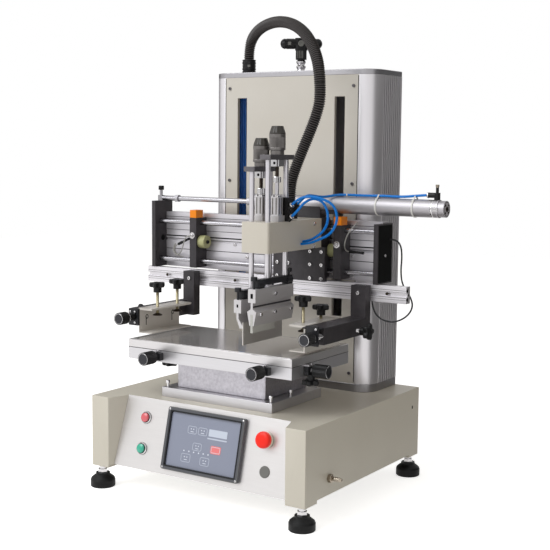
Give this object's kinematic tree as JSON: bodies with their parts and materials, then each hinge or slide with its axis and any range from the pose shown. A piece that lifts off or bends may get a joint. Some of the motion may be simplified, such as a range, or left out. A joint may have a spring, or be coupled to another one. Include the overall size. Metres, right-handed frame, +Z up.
{
  "type": "flatbed screen printing machine",
  "caption": "Bench screen printer with a steel cabinet, riser table, rear column and a lifting head that carries a travelling squeegee and flood bar.",
  "frame": {"origin": "bottom centre of the machine's box, under the levelling feet, without hoses and cables", "axes": "+X to the machine's right, +Y to the rear, +Z up; the control panel faces -Y"},
  "size_m": [0.848, 0.5718, 1.1485],
  "materials": {
    "cabinet_paint": "warm beige powder coat",
    "panel_sheet": "bright satin sheet",
    "display_frame": "dark grey moulded plastic",
    "keypad": "blue-grey membrane",
    "plated_steel": "nickel plated",
    "red_plastic": "red moulded plastic",
    "foot_rubber": "black rubber",
    "satin_aluminium": "satin anodised extrusion",
    "milled_aluminium": "milled and polished",
    "cast_aluminium": "mottled casting",
    "ground_steel": "ground and polished shaft",
    "dark_anodised": "dark grey anodised",
    "clamp_paint": "warm grey folded sheet",
    "black_plastic": "black moulded plastic",
    "orange_plastic": "orange moulded plastic",
    "urethane": "yellow-green cast urethane",
    "hose_plastic": "black corrugated nylon",
    "air_tube": "blue polyurethane",
    "cable_grey": "dark grey cable sheath",
    "squeegee_rubber": "pale grey urethane"
  },
  "bodies": {
    "base": {"cabinet": "cabinet_paint", "control_panel": "panel_sheet", "display_frame": "display_frame", "keypad": "keypad", "push_buttons": "plated_steel", "mushroom_button": "red_plastic", "levelling_feet": "foot_rubber", "foot_studs": "plated_steel", "air_inlet": "plated_steel", "column_shell": "satin_aluminium", "column_ends": "satin_aluminium", "column_panel": "cabinet_paint", "lift_rods": "ground_steel", "column_tubes": "air_tube", "riser_plate": "milled_aluminium", "riser_block": "cast_aluminium", "table_base": "milled_aluminium", "table_top": "milled_aluminium", "table_knobs": "black_plastic", "hose_gland": "plated_steel", "air_tee": "black_plastic", "hose_upper": "hose_plastic"},
    "lift_head": {"beam": "satin_aluminium", "end_plates": "dark_anodised", "back_extrusion": "satin_aluminium", "guide_shafts": "ground_steel", "stop_blocks": "dark_anodised", "stop_caps": "orange_plastic", "bumpers": "urethane", "lift_brackets": "dark_anodised", "traverse_rod": "ground_steel", "clamp_arms": "dark_anodised", "frame_clamps": "clamp_paint", "clamp_knobs": "black_plastic", "adjusters": "black_plastic", "sensor_cable": "cable_grey", "hose_lower": "hose_plastic"},
    "carriage": {"carriage_block": "dark_anodised", "head_housing": "cabinet_paint", "traverse_cylinder": "satin_aluminium", "air_fittings": "black_plastic", "unit_cylinders": "satin_aluminium", "tube_loop_high": "air_tube", "tube_loop_low": "air_tube", "cylinder_tube": "air_tube"},
    "squeegee_unit": {"squeegee_rods": "ground_steel", "squeegee_crosshead": "dark_anodised", "squeegee_knob": "black_plastic", "squeegee_bar": "black_plastic", "squeegee_holder": "milled_aluminium", "squeegee_rubber": "squeegee_rubber"},
    "flood_unit": {"flood_rods": "ground_steel", "flood_crosshead": "dark_anodised", "flood_knob": "black_plastic", "flood_bar": "black_plastic", "flood_holder": "milled_aluminium", "flood_blade": "ground_steel"}
  },
  "joints": [
    {"name": "head_lift", "type": "slide", "parent": "base", "child": "lift_head", "axis": [0, 0, 1], "range_m": [0, 0.16], "deforming": ["hose_upper"]},
    {"name": "carriage_traverse", "type": "slide", "parent": "lift_head", "child": "carriage", "axis": [1, 0, 0], "range_m": [-0.22, 0.005], "deforming": ["hose_lower"]},
    {"name": "squeegee_stroke", "type": "slide", "parent": "carriage", "child": "squeegee_unit", "axis": [0, 0, 1], "range_m": [-0.025, 0.005]},
    {"name": "flood_stroke", "type": "slide", "parent": "carriage", "child": "flood_unit", "axis": [0, 0, 1], "range_m": [0, 0.025]}
  ]
}
